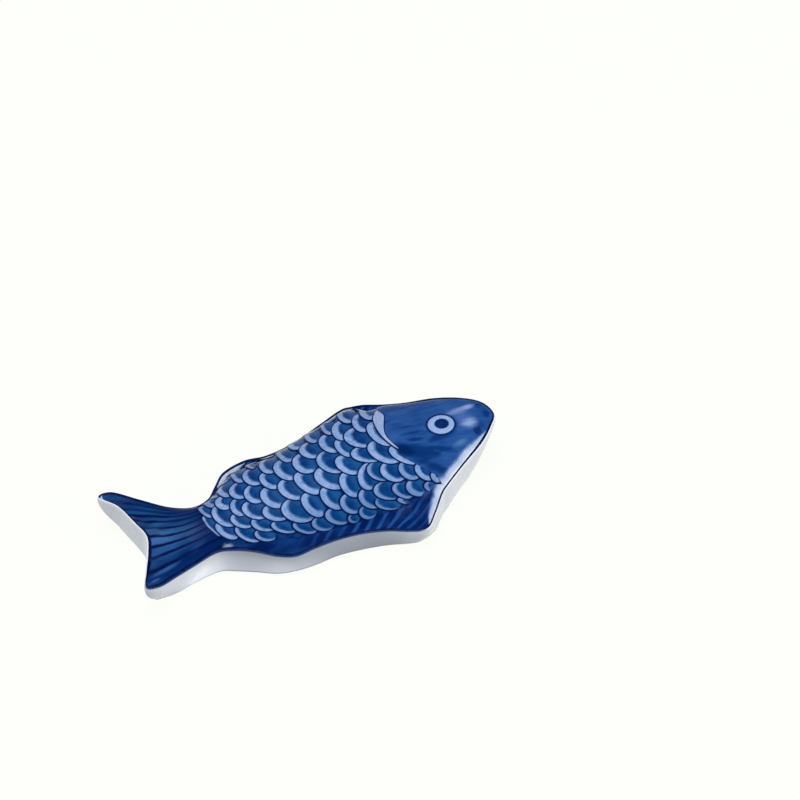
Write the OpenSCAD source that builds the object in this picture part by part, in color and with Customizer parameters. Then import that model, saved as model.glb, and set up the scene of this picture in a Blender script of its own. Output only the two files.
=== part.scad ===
// Fish-shaped chopstick rest in blue and white porcelain.
// The nose points along +X, the back along +Y and the painted flank faces up.
// The origin is on the table, below the centre of the whole rest.

/* [Overall] */
// Length from nose to tail tips
rest_l = 65; // [55:0.5:80]
// Width from the tip of the back fin to the corner of the belly fin
rest_w = 30; // [26:0.5:36]
// Height of the crest of the flank above the table
crest_h = 10; // [8:0.25:13]

/* [Porcelain body] */
// How far the rolled lip stands out past the painted edge
lip_out = 0.2; // [0.1:0.05:0.4]
// Height of the rolled lip
lip_h = 0.5; // [0.3:0.05:0.8]
// Radius of the rounded edge round the foot
foot_r = 0.7; // [0.4:0.05:0.9]

/* [Painted coats] */
// Thickness of the fired blue coats
coat_t = 0.3; // [0.2:0.05:0.4]
// Width of the dark line round the painted edge
line_w = 0.35; // [0.25:0.05:0.6]

/* [Eye] */
// Diameter of the pale ring of the eye
eye_d = 4.3; // [3:0.1:5]
// Diameter of the pupil
pupil_d = 2.3; // [1.5:0.1:2.5]

/* [Hidden] */

// One row for each station from the nose to the notch of the tail, in percent shares.
// Spine: place along the length, and height as a share of the crest.
spine_shares = [
    [41.5, 91], [41, 91.5], [39, 93], [34.5, 95], [29, 96.5], [21.5, 98], [20, 98.5], [18, 99],
    [16, 99.5], [12.5, 100], [7.5, 99.5], [1.5, 97], [-4.5, 92.5], [-10, 86.5], [-14.5, 79.5],
    [-19, 71.5], [-23.5, 63], [-28.5, 56], [-33, 52], [-36.5, 51], [-38, 51.5], [-38.7, 52.5],
    [-39.2, 54], [-39.6, 55.5], [-40, 56.5]
];
// Edge along the back: along the length, across the width, height, shift of the foot
// along and across as shares of the crest, and width of the painted fin as a share of the ray.
back_shares = [
    [50, 2.2, 78, -53, 0, 6], [48.3, 10.7, 83, -49, -14, 6], [44, 18.3, 81, -32, -20, 6],
    [38.2, 25.6, 73, -16, -15, 6], [31.9, 31.5, 61, -5, -6, 6], [27.6, 37.2, 50.5, 0, 0, 10],
    [25.8, 43.6, 34, -3, -3, 18], [23.7, 48.9, 22, -8, -9, 25], [20.9, 50, 22, 0, -4, 22],
    [17, 45, 42, 1, -2, 16], [10.8, 39.2, 46, 1, -4, 9], [2.5, 36.9, 27, 0, -7, 8],
    [-4.4, 36.4, 19, 0, -7, 10], [-9.8, 39.5, 11, 0, -4, 13], [-16, 35.9, 12, 4, -6, 15],
    [-19.8, 27.4, 17, 5, -4, 12], [-23.6, 17.5, 28, 1, -2, 8], [-28.7, 12.7, 38.5, 0, -8, 6],
    [-34.5, 15.8, 46.5, 2, -18, 6], [-40.6, 24.3, 55, 6, -27, 6], [-46.5, 32.7, 63, 20, -31, 6],
    [-49.9, 32.6, 61, 26, -22, 6], [-46.8, 21.5, 66, 10, -12, 6], [-44.8, 8.6, 63, 4, -3, 6],
    [-43.5, -2.3, 61, 0, 0, 6]
];
// Edge along the belly, in the same form
belly_shares = [
    [50, 2.2, 78, -53, 0, 6], [48.2, -3.4, 70, -39, 4, 6], [44.1, -12.4, 70, -20, 0, 6],
    [37.2, -22.4, 66, -9, 2, 6], [32.4, -29.5, 62, -5, -1, 6], [29.7, -33.6, 56, -2, -1, 8],
    [26, -43.3, 51, -2, 2, 23], [22.6, -50, 44, -6, 11, 30], [18.4, -48.3, 45, 1, 8, 27],
    [13.2, -43.4, 45, 2, 3, 18], [7.1, -38.9, 41, 0, -3, 12], [0.6, -37.6, 40, 0, -4, 11],
    [-5.2, -36.9, 34, 0, -10, 13], [-10.2, -37.3, 30.5, 0, -9, 18], [-14.5, -34, 32, -4, -13, 18],
    [-19.1, -27.3, 34, -5, -17, 13], [-23.6, -22.4, 35, -4, -18, 10], [-28.2, -19.8, 34, 0, -16, 8],
    [-34.4, -23, 32, 1, -11, 6], [-40.6, -29.4, 42.5, 3, -2, 6], [-46.2, -36.1, 57, 12, 16, 6],
    [-49.8, -36, 65, 22, 19, 6], [-47.8, -25.8, 66, 15, 10, 6], [-45.1, -13.3, 61, 4, 2, 6],
    [-43.5, -2.3, 61, 0, 0, 6]
];

// How full the flank is between spine and fins, in percent: place in stations, then the share
back_full_shares = [
    [0, 160], [4, 200], [6, 240], [7, 270], [9, 220], [10, 165], [11, 138], [12, 135], [14, 150], [24, 160]
];
belly_full_shares = [[0, 160], [4, 150], [7, 130], [9, 125], [15, 125], [18, 120], [24, 120]];
// Width of the flat shelf inside the edge, in the same form, as a share of the ray
back_shelf_shares = [[0, 4], [5, 8], [7, 26], [9, 10], [11, 6], [13, 16], [15, 12], [17, 6], [24, 6]];
belly_shelf_shares = [[0, 4], [5, 8], [6, 20], [7, 30], [8, 20], [9, 10], [11, 4], [24, 4]];
// How late the dome starts to fall, as a power of its share of the ray
crown_power = 2.1;
// Counts of stations from the nose to where one painted field ends and the next begins
gill_stations = 5;
back_fin_stations = 10;
rear_fin_start_stations = 12;
rear_fin_end_stations = 16;
waist_stations = 17;
// Place of the eye along the length and across the width
eye_shares = [35.7, 1.5];

// Counts of the net: steps for each station, rings on the flank, on the fins, on the wall
sub = 2;
flank_rings = 7;
fin_rings = 3;
wall_rings = 4;
top_rings = flank_rings + fin_rings + 1;
stations = len(spine_shares) - 1;
side_count = stations * sub;
ring_count = 2 * side_count;

// The painted edge runs in a closed ring: nose, back, tail, belly and back to the nose
edge_shares = concat(back_shares, [for (i = [stations - 1:-1:1]) belly_shares[i]]);
edge_l = rest_l - 2 * lip_out;
edge_w = rest_w - 2 * lip_out;

// A smooth curve through four neighbouring rows, at the fraction f between b and c
function through(a, b, c, d, f) =
    (2 * b + (c - a) * f + (2 * a - 5 * b + 4 * c - d) * f ^ 2 + (3 * b - a - 3 * c + d) * f ^ 3) / 2;
function open_row(list, i) = list[max(0, min(len(list) - 1, i))];
function open_curve(list, t) =
    let (i = floor(t))
    through(open_row(list, i - 1), open_row(list, i), open_row(list, i + 1), open_row(list, i + 2), t - i);
function ring_row(i) = edge_shares[(i + len(edge_shares)) % len(edge_shares)];
function ring_curve(t) =
    let (i = floor(t))
    through(ring_row(i - 1), ring_row(i), ring_row(i + 1), ring_row(i + 2), t - i);

// The spine point that faces edge point k, counted from the nose on either side
function spine_of(k) = k <= side_count ? k : ring_count - k;
spine_points = [
    for (j = [0:side_count])
        let (s = open_curve(spine_shares, j / sub))
        [s[0] * edge_l / 100, 0, s[1] * crest_h / 100]
];
edge_rows = [for (k = [0:ring_count - 1]) ring_curve(k / sub)];
edge_points = [for (e = edge_rows) [e[0] * edge_l / 100, e[1] * edge_w / 100, e[2] * crest_h / 100]];

// Flat unit vector that points out of the ring at edge point k
function outward(k) =
    let (d = edge_points[(k + 1) % ring_count] - edge_points[(k + ring_count - 1) % ring_count])
    [d[1], -d[0], 0] / norm([d[0], d[1]]);

// A share that changes from station to station, at edge point k
function side_share(back, belly, k) = lookup(spine_of(k) / sub, k <= side_count ? back : belly) / 100;

// One ray of the painted face, from spine point to edge point k: the places of its rings
// as fractions of the ray, and a dome that falls to the flat shelf inside the edge
function ray(k) =
    let (
        s = spine_points[spine_of(k)],
        e = edge_points[k],
        reach = norm([e[0] - s[0], e[1] - s[1]]),
        band = max(edge_rows[k][5] / 100, 2 * line_w / reach),
        line = line_w / reach,
        full = side_share(back_full_shares, belly_full_shares, k),
        shelf = side_share(back_shelf_shares, belly_shelf_shares, k),
        places = [
            for (i = [1:flank_rings]) (1 - band) * i / flank_rings,
            for (i = [1:fin_rings]) 1 - band + (band - line) * i / fin_rings,
            1
        ]
    )
    [
        for (r = places)
            let (rise = (1 - min(1, r / (1 - shelf)) ^ crown_power) ^ (1 / full))
            [s[0] + (e[0] - s[0]) * r, e[1] * r, e[2] + (s[2] - e[2]) * rise]
    ];
rays = [for (k = [0:ring_count - 1]) ray(k)];

// The painted face as a list of points: the spine, then each ring, lowered by drop
face_count = side_count + 1 + top_rings * ring_count;
function face_points(drop) = [
    for (p = spine_points) p - [0, 0, drop],
    for (i = [0:top_rings - 1], k = [0:ring_count - 1]) rays[k][i] - [0, 0, drop]
];
function face_at(i, k) = i == 0 ? spine_of(k) : side_count + 1 + (i - 1) * ring_count + k % ring_count;

// Names of the painted fields, one for each cell of the net
function side_step(k) = k < side_count ? k : ring_count - 1 - k;
function field(i, k) =
    let (j = side_step(k), fin = i >= flank_rings, back = k < side_count)
    i == top_rings - 1 ? "line"
    : j < gill_stations * sub ? "head"
    : j >= waist_stations * sub ? "tail"
    : fin && !back ? "belly"
    : fin && j < back_fin_stations * sub ? "back"
    : fin && j >= rear_fin_start_stations * sub && j < rear_fin_end_stations * sub ? "rear"
    : !fin && j == gill_stations * sub && i < (back ? flank_rings - 1 : 2) ? "gill"
    : "scales";
// The cell on the far side of the spine is the neighbour of a cell at the spine
function inner_field(i, k) = i > 0 ? field(i - 1, k) : field(0, ring_count - 1 - k);
function outer_field(i, k) = i < top_rings - 1 ? field(i + 1, k) : "none";

// A fired coat over all the cells of one field: top, underside, and a wall wherever
// the neighbouring cell is another field
module coat(name) {
    cells = [
        for (i = [0:top_rings - 1], k = [0:ring_count - 1])
            if (field(i, k) == name) [i, k]
    ];
    faces = [
        for (c = cells)
            let (
                i = c[0],
                k = c[1],
                a = face_at(i, k),
                b = face_at(i, k + 1),
                d = face_at(i + 1, k),
                e = face_at(i + 1, k + 1),
                under = face_count
            )
            each [
                [a, b, e],
                [a, e, d],
                [e + under, b + under, a + under],
                [d + under, e + under, a + under],
                if (field(i, (k + ring_count - 1) % ring_count) != name) [a, d, d + under, a + under],
                if (field(i, (k + 1) % ring_count) != name) [e, b, b + under, e + under],
                if (inner_field(i, k) != name) [b, a, a + under, b + under],
                if (outer_field(i, k) != name) [d, e, e + under, d + under]
            ]
    ];
    polyhedron(concat(face_points(0), face_points(coat_t)), faces, convexity = 6);
}

// The wall below the painted edge at edge point k: the lip, the drawn-in side, the foot
function wall(k) =
    let (
        e = edge_points[k],
        out = outward(k),
        roll = min(lip_h, (e[2] - foot_r) / 2),
        shift = [edge_rows[k][3], edge_rows[k][4], 0] * crest_h / 100,
        lip = e + out * lip_out - [0, 0, roll]
    )
    [
        e,
        e + out * lip_out * sin(45) - [0, 0, roll * (1 - cos(45))],
        lip,
        for (i = [1:wall_rings])
            let (f = i / wall_rings)
            [lip[0], lip[1], lip[2] + (foot_r - lip[2]) * f] + shift * f ^ 2,
        for (a = [30, 60, 90])
            [lip[0], lip[1], foot_r * (1 - sin(a))] + shift - out * foot_r * (1 - cos(a))
    ];
walls = [for (k = [0:ring_count - 1]) wall(k)];
wall_count = len(walls[0]);

module porcelain_body() {
    // The lowered face, the rings of the wall, then the spine on the table
    points = concat(
        face_points(coat_t),
        [for (i = [0:wall_count - 1], k = [0:ring_count - 1]) walls[k][i]],
        [for (p = spine_points) [p[0], p[1], 0]]
    );
    wall_at = face_count - ring_count;
    table_at = face_count + wall_count * ring_count;
    faces = [
        for (i = [0:top_rings - 1], k = [0:ring_count - 1])
            let (
                a = face_at(i, k),
                b = face_at(i, k + 1),
                d = face_at(i + 1, k),
                e = face_at(i + 1, k + 1)
            )
            each [[a, b, e], [a, e, d]],
        for (i = [0:wall_count - 1], k = [0:ring_count - 1])
            let (
                a = wall_at + i * ring_count + k,
                b = wall_at + i * ring_count + (k + 1) % ring_count
            )
            each [[a, b, b + ring_count], [a, b + ring_count, a + ring_count]],
        for (k = [0:ring_count - 1])
            let (
                a = table_at - ring_count + k,
                b = table_at - ring_count + (k + 1) % ring_count,
                d = table_at + spine_of(k),
                e = table_at + spine_of((k + 1) % ring_count)
            )
            each [[a, b, e], [a, e, d]]
    ];
    color("white") polyhedron(points, faces, convexity = 6);
}

// A column on the centre of the eye, tall enough to pass right through the head coat
module eye_column(d) {
    translate([eye_shares[0] * edge_l / 100, eye_shares[1] * edge_w / 100, 0])
        cylinder(d = d, h = 2 * crest_h, $fn = 48);
}
module head_coat() {
    color("royalblue") difference() {
        coat("head");
        eye_column(eye_d);
    }
}
module eye_ring() {
    color("lightsteelblue") intersection() {
        coat("head");
        difference() {
            eye_column(eye_d);
            eye_column(pupil_d);
        }
    }
}
module pupil() {
    color("midnightblue") intersection() {
        coat("head");
        eye_column(pupil_d);
    }
}
module gill_stroke() { color("lightsteelblue") coat("gill"); }
module scale_coat() { color("steelblue") coat("scales"); }
module tail_coat() { color("mediumblue") coat("tail"); }
module belly_fin_coat() { color("navy") coat("belly"); }
module back_fin_coat() { color("darkblue") coat("back"); }
module rear_fin_coat() { color("darkblue") coat("rear"); }
module edge_line() { color("midnightblue") coat("line"); }

porcelain_body();
head_coat();
gill_stroke();
scale_coat();
tail_coat();
belly_fin_coat();
back_fin_coat();
rear_fin_coat();
edge_line();
eye_ring();
pupil();
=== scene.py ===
import math

import bpy
import numpy as np
from mathutils import Matrix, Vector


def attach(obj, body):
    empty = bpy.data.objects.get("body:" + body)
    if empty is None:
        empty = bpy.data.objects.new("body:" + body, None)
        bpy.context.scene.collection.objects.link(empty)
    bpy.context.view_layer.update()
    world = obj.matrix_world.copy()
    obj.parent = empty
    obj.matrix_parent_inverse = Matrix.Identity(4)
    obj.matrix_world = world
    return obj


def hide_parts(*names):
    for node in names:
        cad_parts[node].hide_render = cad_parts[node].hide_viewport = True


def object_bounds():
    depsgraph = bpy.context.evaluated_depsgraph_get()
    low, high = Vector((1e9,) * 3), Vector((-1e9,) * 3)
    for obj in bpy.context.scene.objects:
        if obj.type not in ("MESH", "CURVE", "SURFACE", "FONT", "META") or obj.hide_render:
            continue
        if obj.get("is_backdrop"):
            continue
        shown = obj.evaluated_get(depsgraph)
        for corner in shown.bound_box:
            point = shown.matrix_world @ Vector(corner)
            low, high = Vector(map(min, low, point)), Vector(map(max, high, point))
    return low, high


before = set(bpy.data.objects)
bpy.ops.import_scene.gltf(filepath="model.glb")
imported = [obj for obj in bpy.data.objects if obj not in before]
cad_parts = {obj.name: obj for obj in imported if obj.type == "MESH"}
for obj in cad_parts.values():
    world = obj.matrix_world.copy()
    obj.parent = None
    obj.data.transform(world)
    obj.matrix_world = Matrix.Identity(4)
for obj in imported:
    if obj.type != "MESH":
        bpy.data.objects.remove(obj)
cad_low, cad_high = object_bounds()
scene = bpy.context.scene
MM = 0.001


# Camera and studio
# The rest lies on a white table and is seen from above its belly side, through a very long
# lens. A large soft lamp hangs over it, and the white room fills in from all sides.
turn, tilt = math.radians(22.179), math.radians(50.247)
right = np.array([math.cos(turn), -math.sin(turn), 0])
up = np.array([math.sin(turn) * math.sin(tilt), math.cos(turn) * math.sin(tilt), math.cos(tilt)])
towards = np.cross(right, up)
# The picture is so many millimetres wide, and its middle lies right of the rest and above it
lens, film, seen_width = 1000, 36, 128.04
to_right, to_top = 14.643, 16.948
stand = (right * to_right + up * to_top + towards * seen_width * lens / film) * MM


def placed(axes, place):
    """The matrix of an object that stands at a place with its own axes along these three."""
    return Matrix([[*row, p] for row, p in zip(np.array(axes).T, place)] + [[0, 0, 0, 1]])


camera_data = bpy.data.cameras.new("camera")
camera_data.lens, camera_data.sensor_width = lens, film
camera_data.clip_start, camera_data.clip_end = 0.1, 20
camera = bpy.data.objects.new("camera", camera_data)
camera.matrix_world = placed((right, up, towards), stand)
scene.collection.objects.link(camera)
scene.camera = camera
scene.view_settings.view_transform = "Standard"


def paint(red, green, blue):
    """A colour given as 0 to 255 on a screen, turned to the light it stands for: divided
    by 12.92 near black, and raised to the power 2.4 above."""
    light = [c / 255 / 12.92 if c <= 10.3 else ((c / 255 + 0.055) / 1.055) ** 2.4 for c in (red, green, blue)]
    return (*light, 1.0)


def bright_when_seen(tree, plain, bright, share, surface):
    """Gives a surface a share of a bright shader where the eye, a mirror or glass looks
    straight at it, and a plain one for the light that it casts on other things."""
    nodes, links = tree.nodes, tree.links
    path = nodes.new("ShaderNodeLightPath")
    seen = path.outputs["Is Camera Ray"]
    for name in ("Is Glossy Ray", "Is Transmission Ray"):
        either = nodes.new("ShaderNodeMath")
        either.operation = "MAXIMUM"
        links.new(seen, either.inputs[0])
        links.new(path.outputs[name], either.inputs[1])
        seen = either.outputs[0]
    part = nodes.new("ShaderNodeMath")
    part.operation = "MULTIPLY"
    part.inputs[1].default_value = share
    links.new(seen, part.inputs[0])
    blend = nodes.new("ShaderNodeMixShader")
    links.new(part.outputs[0], blend.inputs["Fac"])
    links.new(plain.outputs[0], blend.inputs[1])
    links.new(bright.outputs[0], blend.inputs[2])
    links.new(blend.outputs[0], surface)


paper_white = paint(254, 255, 249)
room = bpy.data.worlds.new("white_room")
room.use_nodes = True
scene.world = room
tree = room.node_tree
fill = tree.nodes["Background"]
fill.inputs["Color"].default_value = (0.92, 0.96, 1.0, 1)
fill.inputs["Strength"].default_value = 0.35
backdrop = tree.nodes.new("ShaderNodeBackground")
backdrop.inputs["Color"].default_value = paper_white
bright_when_seen(tree, fill, backdrop, 1.0, tree.nodes["World Output"].inputs["Surface"])

table_half = 2
table = bpy.data.meshes.new("table")
corners = [(x * table_half, y * table_half, 0) for x, y in ((-1, -1), (1, -1), (1, 1), (-1, 1))]
table.from_pydata(corners, [], [(0, 1, 2, 3)])
table_top = bpy.data.objects.new("table", table)
scene.collection.objects.link(table_top)
table_top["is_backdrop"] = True
laminate = bpy.data.materials.new("white_table")
laminate.use_nodes = True
tree = laminate.node_tree
top = tree.nodes["Principled BSDF"]
top.inputs["Base Color"].default_value = (0.24, 0.26, 0.29, 1)
top.inputs["Roughness"].default_value = 0.9
top.inputs["Specular IOR Level"].default_value = 0.0
# The glow is a little over white, because the rest of the mix, which holds the shadow, is darker
glow = tree.nodes.new("ShaderNodeEmission")
glow.inputs["Color"].default_value = paper_white
glow.inputs["Strength"].default_value = 1.165
bright_when_seen(tree, top, glow, 0.82, tree.nodes["Material Output"].inputs["Surface"])
table.materials.append(laminate)


def unit(vectors):
    """Vectors divided by their own lengths."""
    return vectors / np.linalg.norm(vectors, axis=-1, keepdims=True)


def lamp(name, place, size, power):
    """A square lamp at a place in millimetres, one side level, that faces the middle of the
    rest: its back points straight away from there."""
    data = bpy.data.lights.new(name, "AREA")
    data.size, data.energy = size * MM, power
    here = np.array(place) * MM
    back = unit(here)
    side = unit(np.cross([0, 0, 1], back))
    obj = bpy.data.objects.new(name, data)
    obj.matrix_world = placed((side, np.cross(back, side), back), here)
    scene.collection.objects.link(obj)


lamp("softbox_above", (-40, 60, 440), 260, 1.06)
lamp("window_by_tail", (-380, 20, 120), 220, 0.42)
lamp("window_by_nose", (270, -290, 150), 220, 0.85)


# Porcelain body
# A cast block of white porcelain in the outline of a carp, domed along its flank and low at
# the tail. Its side draws in below a small rolled lip, and it stands on a bare flat foot.
rest_l, rest_w, crest_h = 65 * MM, 30 * MM, 10 * MM
lip_out, lip_h, foot_r = 0.2 * MM, 0.5 * MM, 0.7 * MM
coat_t, line_w = 0.3 * MM, 0.35 * MM
edge_l, edge_w = rest_l - 2 * lip_out, rest_w - 2 * lip_out
# One row for each station from the nose to the notch of the tail, in percent shares.
# Spine: place along the length, and height as a share of the crest
spine_shares = np.array([
    [41.5, 91], [41, 91.5], [39, 93], [34.5, 95], [29, 96.5], [21.5, 98], [20, 98.5], [18, 99],
    [16, 99.5], [12.5, 100], [7.5, 99.5], [1.5, 97], [-4.5, 92.5], [-10, 86.5], [-14.5, 79.5],
    [-19, 71.5], [-23.5, 63], [-28.5, 56], [-33, 52], [-36.5, 51], [-38, 51.5], [-38.7, 52.5],
    [-39.2, 54], [-39.6, 55.5], [-40, 56.5]])
# Edge: along, across, height, shift of the foot along and across, width of the painted fin.
# The belly's table leaves out the nose and the notch, which the back's table holds
back_shares = np.array([
    [50, 2.2, 78, -53, 0, 6], [48.3, 10.7, 83, -49, -14, 6], [44, 18.3, 81, -32, -20, 6],
    [38.2, 25.6, 73, -16, -15, 6], [31.9, 31.5, 61, -5, -6, 6], [27.6, 37.2, 50.5, 0, 0, 10],
    [25.8, 43.6, 34, -3, -3, 18], [23.7, 48.9, 22, -8, -9, 25], [20.9, 50, 22, 0, -4, 22],
    [17, 45, 42, 1, -2, 16], [10.8, 39.2, 46, 1, -4, 9], [2.5, 36.9, 27, 0, -7, 8],
    [-4.4, 36.4, 19, 0, -7, 10], [-9.8, 39.5, 11, 0, -4, 13], [-16, 35.9, 12, 4, -6, 15],
    [-19.8, 27.4, 17, 5, -4, 12], [-23.6, 17.5, 28, 1, -2, 8], [-28.7, 12.7, 38.5, 0, -8, 6],
    [-34.5, 15.8, 46.5, 2, -18, 6], [-40.6, 24.3, 55, 6, -27, 6], [-46.5, 32.7, 63, 20, -31, 6],
    [-49.9, 32.6, 61, 26, -22, 6], [-46.8, 21.5, 66, 10, -12, 6], [-44.8, 8.6, 63, 4, -3, 6],
    [-43.5, -2.3, 61, 0, 0, 6]])
belly_shares = np.array([
    [48.2, -3.4, 70, -39, 4, 6], [44.1, -12.4, 70, -20, 0, 6],
    [37.2, -22.4, 66, -9, 2, 6], [32.4, -29.5, 62, -5, -1, 6], [29.7, -33.6, 56, -2, -1, 8],
    [26, -43.3, 51, -2, 2, 23], [22.6, -50, 44, -6, 11, 30], [18.4, -48.3, 45, 1, 8, 27],
    [13.2, -43.4, 45, 2, 3, 18], [7.1, -38.9, 41, 0, -3, 12], [0.6, -37.6, 40, 0, -4, 11],
    [-5.2, -36.9, 34, 0, -10, 13], [-10.2, -37.3, 30.5, 0, -9, 18], [-14.5, -34, 32, -4, -13, 18],
    [-19.1, -27.3, 34, -5, -17, 13], [-23.6, -22.4, 35, -4, -18, 10], [-28.2, -19.8, 34, 0, -16, 8],
    [-34.4, -23, 32, 1, -11, 6], [-40.6, -29.4, 42.5, 3, -2, 6], [-46.2, -36.1, 57, 12, 16, 6],
    [-49.8, -36, 65, 22, 19, 6], [-47.8, -25.8, 66, 15, 10, 6], [-45.1, -13.3, 61, 4, 2, 6]])
# How full the flank's dome is, and how wide the shelf inside the edge: stations, then values
crown_power = 2.1
back_full = [[0, 4, 6, 7, 9, 10, 11, 12, 14, 24], [1.6, 2, 2.4, 2.7, 2.2, 1.65, 1.38, 1.35, 1.5, 1.6]]
belly_full = [[0, 4, 7, 9, 15, 18, 24], [1.6, 1.5, 1.3, 1.25, 1.25, 1.2, 1.2]]
back_shelf = [[0, 5, 7, 9, 11, 13, 15, 17, 24], [0.04, 0.08, 0.26, 0.1, 0.02, 0.16, 0.12, 0.06, 0.06]]
belly_shelf = [[0, 5, 6, 7, 8, 9, 11, 24], [0.04, 0.08, 0.2, 0.3, 0.2, 0.1, 0.04, 0.04]]


def through(rows, at, closed):
    """A smooth curve through rows. Between rows b and c, with a before and d after them, at
    the fraction f: half of 2b + (c - a)f + (2a - 5b + 4c - d)f^2 + (3b - a - 3c + d)f^3."""
    first = np.floor(at).astype(int)
    f = (at - first)[:, None]
    count = len(rows)
    a, b, c, d = (rows[(first + s) % count] if closed else rows[np.clip(first + s, 0, count - 1)]
                  for s in (-1, 0, 1, 2))
    return (2 * b + (c - a) * f + (2 * a - 5 * b + 4 * c - d) * f**2 + (3 * b - a - 3 * c + d) * f**3) / 2


def eased(values, passes):
    """Evens out the rows of an array: in each pass every row but the first and the last
    becomes half of itself and a quarter of each neighbour."""
    for _ in range(passes):
        values[1:-1] = (values[:-2] + 2 * values[1:-1] + values[2:]) / 4
    return values


# Tables of the face: every twentieth of a station from nose to tail notch, and from the
# belly edge (-1) over the spine (0) to the back edge (+1) in steps of a 120th
stations = len(spine_shares) - 1
per_station, half_steps = 20, 120
fine_t = np.arange(stations * per_station + 1) / per_station
ring_shares = np.vstack([back_shares, belly_shares[::-1]])
to_size = np.array([edge_l, edge_w, crest_h, crest_h, crest_h, 1]) / 100
back_edge = through(ring_shares, fine_t, True) * to_size
belly_edge = through(ring_shares, (2 * stations - fine_t) % (2 * stations), True) * to_size
spine_line = through(spine_shares, fine_t, False) * [edge_l / 100, crest_h / 100]
across = np.arange(-half_steps, half_steps + 1) / half_steps
along_passes, across_passes = 60, 14
heights = []
for edge, full, shelf in ((belly_edge, belly_full, belly_shelf), (back_edge, back_full, back_shelf)):
    fullness = eased(np.interp(fine_t, *full), along_passes)[:, None]
    flat = eased(np.interp(fine_t, *shelf), along_passes)[:, None]
    rise = (1 - np.minimum(1, np.abs(across) / (1 - flat)) ** crown_power) ** (1 / fullness)
    heights.append(edge[:, 2:3] + (spine_line[:, 1:2] - edge[:, 2:3]) * rise)
heights = eased(np.where(across < 0, *heights).T, across_passes).T


def edge_at(t, on_back, columns=(0, 1)):
    """Columns of the edge's table at t stations from the nose, on the back or the belly side."""
    return [np.where(on_back, np.interp(t, fine_t, back_edge[:, c]), np.interp(t, fine_t, belly_edge[:, c]))
            for c in columns]


def face_at(t, r):
    """A point of the painted face, t stations from the nose and the share r of the way from
    the spine to the edge, minus on the belly side. In plan it lies on the straight line from
    spine to edge; its height is read between the four nearest places of the table."""
    t, r = np.clip(t, 0, stations), np.clip(r, -1, 1)
    at, over = t * per_station, (r + 1) * half_steps
    j, m = np.minimum(at.astype(int), len(fine_t) - 2), np.minimum(over.astype(int), len(across) - 2)
    f, g = at - j, over - m
    sx = np.interp(t, fine_t, spine_line[:, 0])
    ex, ey = edge_at(t, r >= 0)
    near, far = (heights[j, k] * (1 - f) + heights[j + 1, k] * f for k in (m, m + 1))
    return np.stack([sx + (ex - sx) * np.abs(r), ey * np.abs(r), near * (1 - g) + far * g], -1)


def piece_from(name, points, faces, pot, node, sharp=40, fields=None):
    """Makes a mesh from arrays of points and of faces with four or three corners, smooth but
    for edges that turn by more than sharp degrees, and gives it its place in the rest."""
    corners = np.concatenate([part.ravel() for part in faces]).astype(np.int32)
    sizes = np.concatenate([np.full(len(part), part.shape[1]) for part in faces])
    mesh = bpy.data.meshes.new(name)
    mesh.vertices.add(len(points))
    mesh.vertices.foreach_set("co", np.ascontiguousarray(points, np.float32).ravel())
    mesh.loops.add(len(corners))
    mesh.loops.foreach_set("vertex_index", corners)
    mesh.polygons.add(len(sizes))
    mesh.polygons.foreach_set("loop_start", (np.cumsum(sizes) - sizes).astype(np.int32))
    mesh.update(calc_edges=True)
    mesh.validate()
    mesh.shade_smooth()
    mesh.set_sharp_from_angle(angle=math.radians(sharp))
    for title, values in (fields or {}).items():
        carried = mesh.attributes.new(title, "FLOAT", "POINT")
        carried.data.foreach_set("value", values.astype(np.float32).ravel())
    mesh.materials.append(pot.material)
    obj = bpy.data.objects.new(name, mesh)
    scene.collection.objects.link(obj)
    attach(obj, "root")
    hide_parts(node)


# The net that all coats are cut from: lines from spine to edge, a dozen for each station on
# either side, and rings across the flank, over the fin and over the edge line
per_line = 12
half_lines = stations * per_line
lines = 2 * half_lines
flank_rings, fin_rings, stroke_rings = 40, 10, 3
rings = flank_rings + fin_rings + stroke_rings
line_index = np.arange(lines)
mirrored = (lines - line_index) % lines
on_back = line_index <= half_lines
station = np.minimum(line_index, lines - line_index) / per_line
edge_now = np.stack(edge_at(station, on_back, range(6)), 1)
spine_now = np.stack([np.interp(station, fine_t, spine_line[:, 0]), 0 * station], 1)
reach = np.hypot(*(edge_now[:, :2] - spine_now).T)
band = np.maximum(edge_now[:, 5], 2 * line_w / reach)
stroke = line_w / reach
places = np.concatenate([
    (1 - band) * np.linspace(0, 1, flank_rings, endpoint=False)[:, None],
    1 - band + (band - stroke) * np.linspace(0, 1, fin_rings, endpoint=False)[:, None],
    1 - stroke + stroke * np.linspace(0, 1, stroke_rings + 1)[:, None]])


def spot(x, y):
    """Where a point of the plan lies on the face, as stations from the nose and share of the
    way to the edge: the span of stations, short of nose and tail, where the rays fan out, is
    halved until its ray runs through the point."""
    side = np.where(y < 0, -1.0, 1.0)
    y = np.maximum(np.abs(y), 1e-7)
    near_nose, near_tail, halvings = 1.2, 20.5, 26
    low, high = np.full(x.shape, near_nose), np.full(x.shape, near_tail)
    for _ in range(halvings):
        middle = (low + high) / 2
        sx = np.interp(middle, fine_t, spine_line[:, 0])
        ex, ey = edge_at(middle, side > 0)
        noseward = (x - sx) * np.abs(ey) > y * (ex - sx)
        high, low = np.where(noseward, middle, high), np.where(noseward, low, middle)
    middle = (low + high) / 2
    return middle, side * y / np.abs(edge_at(middle, side > 0)[1])


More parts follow.
